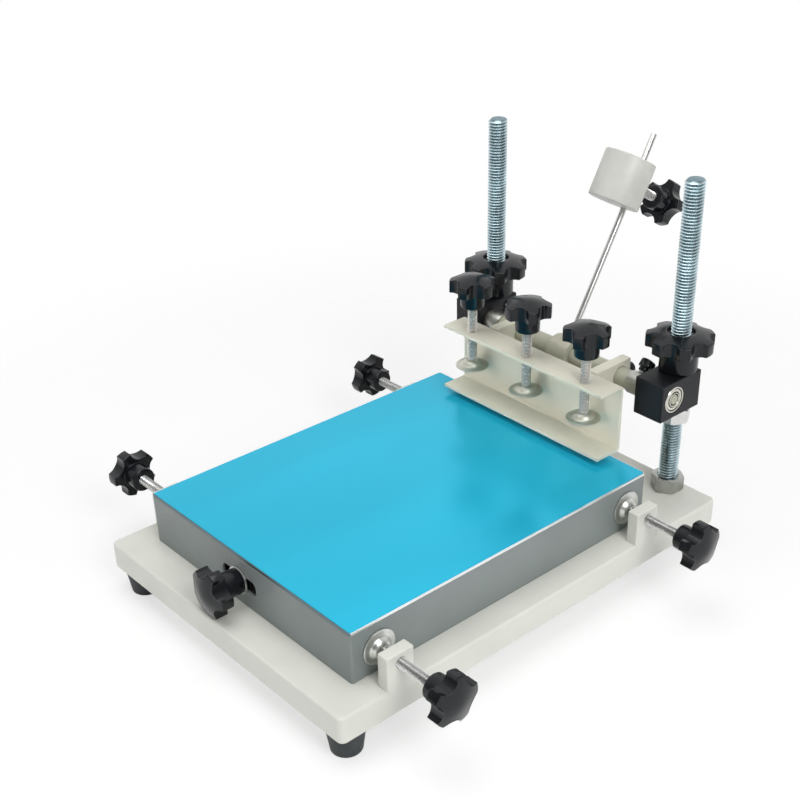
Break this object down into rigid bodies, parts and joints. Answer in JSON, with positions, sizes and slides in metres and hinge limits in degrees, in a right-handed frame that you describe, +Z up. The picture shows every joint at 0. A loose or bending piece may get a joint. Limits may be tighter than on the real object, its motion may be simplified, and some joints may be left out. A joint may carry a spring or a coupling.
{
  "type": "manual stencil printer",
  "caption": "Bench printer for solder paste: a screw-set table under a balanced swing arm whose channel clamps a framed stencil, on height-set threaded rods.",
  "frame": {"origin": "centre of the bounding box on the plane of the feet", "axes": "+Z up from the bench, +Y from the front knob to the rods, +X to the right as seen from the front"},
  "size_m": [0.4048, 0.4949, 0.3085],
  "materials": {
    "cream_paint": "satin off-white paint with a fine texture",
    "foot_rubber": "matt black rubber",
    "bright_zinc": "bright zinc plate",
    "blue_zinc": "bluish zinc plate",
    "dull_zinc": "dull zinc plate",
    "white_zinc": "pale zinc plate",
    "table_grey": "mid-grey satin paint",
    "plate_metal": "bright cut edge",
    "blue_film": "glossy protective film",
    "knob_black": "glossy black moulding",
    "block_black": "black anodised",
    "screw_black": "black oxide",
    "bearing_steel": "ground steel",
    "boss_grey": "turned steel"
  },
  "bodies": {
    "base": {"base_pan": "cream_paint", "side_posts": "cream_paint", "rubber_feet": "foot_rubber", "foot_screws": "bright_zinc", "threaded_rod_left": "blue_zinc", "threaded_rod_right": "blue_zinc", "rod_base_nuts": "dull_zinc", "front_bracket": "bright_zinc"},
    "table_carrier": {"front_washers": "bright_zinc"},
    "front_screw": {"front_stud": "bright_zinc", "front_lock_nut": "bright_zinc", "front_knob": "knob_black"},
    "table": {"table_box": "table_grey", "table_plate": "plate_metal", "table_film": "blue_film"},
    "head": {"hinge_block_left": "block_black", "hinge_block_right": "block_black", "bearing_outer_rings": "bearing_steel", "shaft_bosses": "boss_grey"},
    "arm_frame": {"hinge_shaft": "cream_paint", "bearing_inner_rings": "bearing_steel", "arm_left": "cream_paint", "arm_right": "cream_paint", "arm_screws": "screw_black", "frame_channel": "cream_paint", "shaft_hub": "cream_paint", "balance_rod": "bright_zinc"},
    "weight": {"counterweight": "cream_paint"},
    "weight_lock": {"weight_stud": "bright_zinc", "weight_knob": "knob_black"},
    "side_pad_front_left": {"side_pad_front_left": "bright_zinc"},
    "side_screw_front_left": {"side_stud_front_left": "bright_zinc", "side_knob_front_left": "knob_black"},
    "side_pad_front_right": {"side_pad_front_right": "bright_zinc"},
    "side_screw_front_right": {"side_stud_front_right": "bright_zinc", "side_knob_front_right": "knob_black"},
    "side_pad_rear_left": {"side_pad_rear_left": "bright_zinc"},
    "side_screw_rear_left": {"side_stud_rear_left": "bright_zinc", "side_knob_rear_left": "knob_black"},
    "side_pad_rear_right": {"side_pad_rear_right": "bright_zinc"},
    "side_screw_rear_right": {"side_stud_rear_right": "bright_zinc", "side_knob_rear_right": "knob_black"},
    "clamp_pad_left": {"clamp_pad_left": "bright_zinc"},
    "clamp_screw_left": {"clamp_stud_left": "bright_zinc", "clamp_knob_left": "knob_black"},
    "clamp_pad_middle": {"clamp_pad_middle": "bright_zinc"},
    "clamp_screw_middle": {"clamp_stud_middle": "bright_zinc", "clamp_knob_middle": "knob_black"},
    "clamp_pad_right": {"clamp_pad_right": "bright_zinc"},
    "clamp_screw_right": {"clamp_stud_right": "bright_zinc", "clamp_knob_right": "knob_black"},
    "star_nut_left": {"star_nut_left": "knob_black"},
    "lower_nut_left": {"lower_nut_left": "white_zinc"},
    "lock_screw_left": {"lock_stud_left": "bright_zinc", "lock_knob_left": "knob_black"},
    "star_nut_right": {"star_nut_right": "knob_black"},
    "lower_nut_right": {"lower_nut_right": "white_zinc"},
    "lock_screw_right": {"lock_stud_right": "bright_zinc", "lock_knob_right": "knob_black"}
  },
  "joints": [
    {"name": "table_y", "type": "slide", "parent": "base", "child": "table_carrier", "axis": [0, 1, 0], "range_m": [-0.008, 0.008]},
    {"name": "front_screw_turn", "type": "hinge", "parent": "table_carrier", "child": "front_screw", "pos_m": [-0.008, -0.21503, 0.06375], "axis": [0, 1, 0], "range_deg": [-2310, 2310]},
    {"name": "table_x", "type": "slide", "parent": "table_carrier", "child": "table", "axis": [1, 0, 0], "range_m": [-0.003, 0.003]},
    {"name": "side_pad_front_left_slide", "type": "slide", "parent": "base", "child": "side_pad_front_left", "axis": [1, 0, 0], "range_m": [-0.003, 0.003]},
    {"name": "side_screw_front_left_turn", "type": "hinge", "parent": "side_pad_front_left", "child": "side_screw_front_left", "pos_m": [-0.1327, -0.19103, 0.0635], "axis": [1, 0, 0], "range_deg": [-870, 870]},
    {"name": "side_pad_front_right_slide", "type": "slide", "parent": "base", "child": "side_pad_front_right", "axis": [1, 0, 0], "range_m": [-0.003, 0.003]},
    {"name": "side_screw_front_right_turn", "type": "hinge", "parent": "side_pad_front_right", "child": "side_screw_front_right", "pos_m": [0.1327, -0.19103, 0.0635], "axis": [-1, 0, 0], "range_deg": [-870, 870]},
    {"name": "side_pad_rear_left_slide", "type": "slide", "parent": "base", "child": "side_pad_rear_left", "axis": [1, 0, 0], "range_m": [-0.003, 0.003]},
    {"name": "side_screw_rear_left_turn", "type": "hinge", "parent": "side_pad_rear_left", "child": "side_screw_rear_left", "pos_m": [-0.1327, 0.06297, 0.0635], "axis": [1, 0, 0], "range_deg": [-870, 870]},
    {"name": "side_pad_rear_right_slide", "type": "slide", "parent": "base", "child": "side_pad_rear_right", "axis": [1, 0, 0], "range_m": [-0.003, 0.003]},
    {"name": "side_screw_rear_right_turn", "type": "hinge", "parent": "side_pad_rear_right", "child": "side_screw_rear_right", "pos_m": [0.1327, 0.06297, 0.0635], "axis": [-1, 0, 0], "range_deg": [-870, 870]},
    {"name": "head_height", "type": "slide", "parent": "base", "child": "head", "axis": [0, 0, 1], "range_m": [-0.004, 0.095]},
    {"name": "star_nut_left_turn", "type": "hinge", "parent": "head", "child": "star_nut_left", "pos_m": [-0.103, 0.13707, 0.1379], "axis": [0, 0, 1], "range_deg": [-590, 13690]},
    {"name": "lower_nut_left_turn", "type": "hinge", "parent": "head", "child": "lower_nut_left", "pos_m": [-0.103, 0.13707, 0.1379], "axis": [0, 0, 1], "range_deg": [-590, 13690]},
    {"name": "lock_screw_left_turn", "type": "hinge", "parent": "head", "child": "lock_screw_left", "pos_m": [-0.0775, 0.11797, 0.1379], "axis": [0, 0.7071, 0.7071], "range_deg": [0, 180]},
    {"name": "star_nut_right_turn", "type": "hinge", "parent": "head", "child": "star_nut_right", "pos_m": [0.103, 0.13707, 0.1379], "axis": [0, 0, 1], "range_deg": [-590, 13690]},
    {"name": "lower_nut_right_turn", "type": "hinge", "parent": "head", "child": "lower_nut_right", "pos_m": [0.103, 0.13707, 0.1379], "axis": [0, 0, 1], "range_deg": [-590, 13690]},
    {"name": "lock_screw_right_turn", "type": "hinge", "parent": "head", "child": "lock_screw_right", "pos_m": [0.0775, 0.11797, 0.1379], "axis": [0, 0.7071, 0.7071], "range_deg": [0, 180]},
    {"name": "arm_lift", "type": "hinge", "parent": "head", "child": "arm_frame", "pos_m": [0, 0.11797, 0.1379], "axis": [-1, 0, 0], "range_deg": [0, 50]},
    {"name": "clamp_pad_left_slide", "type": "slide", "parent": "arm_frame", "child": "clamp_pad_left", "axis": [0, 0, 1], "range_m": [-0.0205, 0.0195]},
    {"name": "clamp_screw_left_turn", "type": "hinge", "parent": "clamp_pad_left", "child": "clamp_screw_left", "pos_m": [-0.064, 0.07147, 0.1504], "axis": [0, 0, 1], "range_deg": [-5910, 5630]},
    {"name": "clamp_pad_middle_slide", "type": "slide", "parent": "arm_frame", "child": "clamp_pad_middle", "axis": [0, 0, 1], "range_m": [-0.0205, 0.0195]},
    {"name": "clamp_screw_middle_turn", "type": "hinge", "parent": "clamp_pad_middle", "child": "clamp_screw_middle", "pos_m": [0, 0.07147, 0.1504], "axis": [0, 0, 1], "range_deg": [-5910, 5630]},
    {"name": "clamp_pad_right_slide", "type": "slide", "parent": "arm_frame", "child": "clamp_pad_right", "axis": [0, 0, 1], "range_m": [-0.0205, 0.0195]},
    {"name": "clamp_screw_right_turn", "type": "hinge", "parent": "clamp_pad_right", "child": "clamp_screw_right", "pos_m": [0.064, 0.07147, 0.1504], "axis": [0, 0, 1], "range_deg": [-5910, 5630]},
    {"name": "weight_slide", "type": "slide", "parent": "arm_frame", "child": "weight", "axis": [0, 0.5045, 0.8634], "range_m": [-0.08, 0.018]},
    {"name": "weight_knob_turn", "type": "hinge", "parent": "weight", "child": "weight_lock", "pos_m": [0, 0.19163, 0.26396], "axis": [0, 0.8634, -0.5045], "range_deg": [0, 180]}
  ],
  "couplings": [
    {"joint": "front_screw_turn", "follows": "table_y", "rad_per_m": 5026.5},
    {"joint": "side_pad_front_left_slide", "follows": "table_x", "ratio": 1},
    {"joint": "side_screw_front_left_turn", "follows": "table_x", "rad_per_m": 5026.5},
    {"joint": "side_pad_front_right_slide", "follows": "table_x", "ratio": 1},
    {"joint": "side_screw_front_right_turn", "follows": "table_x", "rad_per_m": -5026.5},
    {"joint": "side_pad_rear_left_slide", "follows": "table_x", "ratio": 1},
    {"joint": "side_screw_rear_left_turn", "follows": "table_x", "rad_per_m": 5026.5},
    {"joint": "side_pad_rear_right_slide", "follows": "table_x", "ratio": 1},
    {"joint": "side_screw_rear_right_turn", "follows": "table_x", "rad_per_m": -5026.5},
    {"joint": "star_nut_left_turn", "follows": "head_height", "rad_per_m": 2513.3},
    {"joint": "lower_nut_left_turn", "follows": "head_height", "rad_per_m": 2513.3},
    {"joint": "star_nut_right_turn", "follows": "head_height", "rad_per_m": 2513.3},
    {"joint": "lower_nut_right_turn", "follows": "head_height", "rad_per_m": 2513.3},
    {"joint": "clamp_screw_left_turn", "follows": "clamp_pad_left_slide", "rad_per_m": 5026.5},
    {"joint": "clamp_screw_middle_turn", "follows": "clamp_pad_middle_slide", "rad_per_m": 5026.5},
    {"joint": "clamp_screw_right_turn", "follows": "clamp_pad_right_slide", "rad_per_m": 5026.5}
  ]
}
